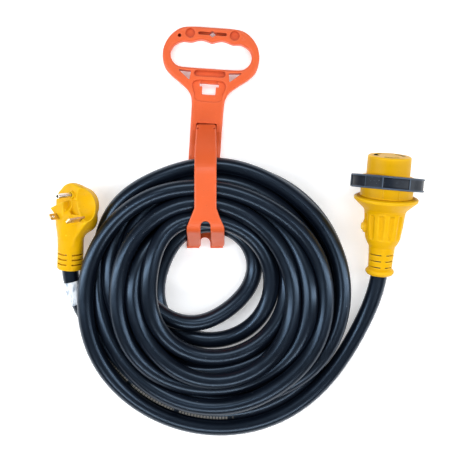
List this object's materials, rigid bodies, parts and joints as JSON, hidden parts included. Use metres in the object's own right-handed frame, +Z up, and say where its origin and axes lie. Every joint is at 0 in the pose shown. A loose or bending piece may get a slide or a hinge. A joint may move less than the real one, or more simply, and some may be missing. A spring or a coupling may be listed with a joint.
{
  "type": "shore power cord",
  "caption": "Coiled heavy power cord with a bent-neck bladed plug, a round connector with a threaded locking ring, and a folding strap carrier with a grip.",
  "frame": {"origin": "on the table, at the middle of the underside of the box round the carrier, the plug and the connector; the cord's own coil, leads and label are left out of the box", "axes": "+Z up off the table, +Y from the coil towards the carrier's grip, +X from the plug towards the connector"},
  "size_m": [0.3716, 0.408, 0.0735],
  "materials": {
    "carrier": "satin moulded plastic, tough and flexible",
    "plug_housing": "satin moulded vinyl",
    "inner_block": "plain moulded vinyl",
    "blade_brass": "stamped, lightly tarnished",
    "pin_nickel": "plated, bright",
    "crimp_copper": "plain",
    "wire_black": "plain insulation",
    "wire_white": "plain insulation",
    "wire_green": "plain insulation",
    "lock_ring": "smooth moulded, low gloss",
    "gasket": "plain",
    "lens_amber": "clear tinted",
    "led_red": "clear",
    "cord_jacket": "smooth vinyl jacket with a soft shine",
    "cord_label": "glossy wrapped film, blank"
  },
  "bodies": {
    "cord_set": {"carrier_handle": "carrier", "plug_body": "plug_housing", "plug_core": "inner_block", "plug_hot_blade": "blade_brass", "plug_neutral_blade": "blade_brass", "plug_ground_pin": "pin_nickel", "plug_crimps": "crimp_copper", "plug_hot_wire": "wire_black", "plug_neutral_wire": "wire_white", "plug_ground_wire": "wire_green", "connector_body": "plug_housing", "connector_nose": "plug_housing", "connector_core": "inner_block", "connector_hot_contact": "blade_brass", "connector_neutral_contact": "pin_nickel", "connector_ground_contact": "blade_brass", "connector_crimps": "crimp_copper", "connector_hot_wire": "wire_black", "connector_neutral_wire": "wire_white", "connector_ground_wire": "wire_green", "power_light_lens": "lens_amber", "power_light_led": "led_red", "cord_plug_lead": "cord_jacket", "cord_coil": "cord_jacket", "cord_inner_turn": "cord_jacket", "cord_connector_lead": "cord_jacket", "cord_label": "cord_label"},
    "arm": {"carrier_arm": "carrier"},
    "ring_slider": {"ring_gasket": "gasket"},
    "ring": {"lock_ring": "lock_ring"}
  },
  "joints": [
    {"name": "arm_hinge", "type": "hinge", "parent": "cord_set", "child": "arm", "pos_m": [-0.0289, -0.0947, 0.00225], "axis": [1, 0, 0], "range_deg": [0, 85]},
    {"name": "ring_slide", "type": "slide", "parent": "cord_set", "child": "ring_slider", "axis": [0.0868, 0.9949, 0.0523], "range_m": [-0.0016, 0.0022]},
    {"name": "ring_spin", "type": "hinge", "parent": "ring_slider", "child": "ring", "pos_m": [0.15013, -0.03191, 0.03664], "axis": [0.0868, 0.9949, 0.0523], "continuous": true}
  ]
}
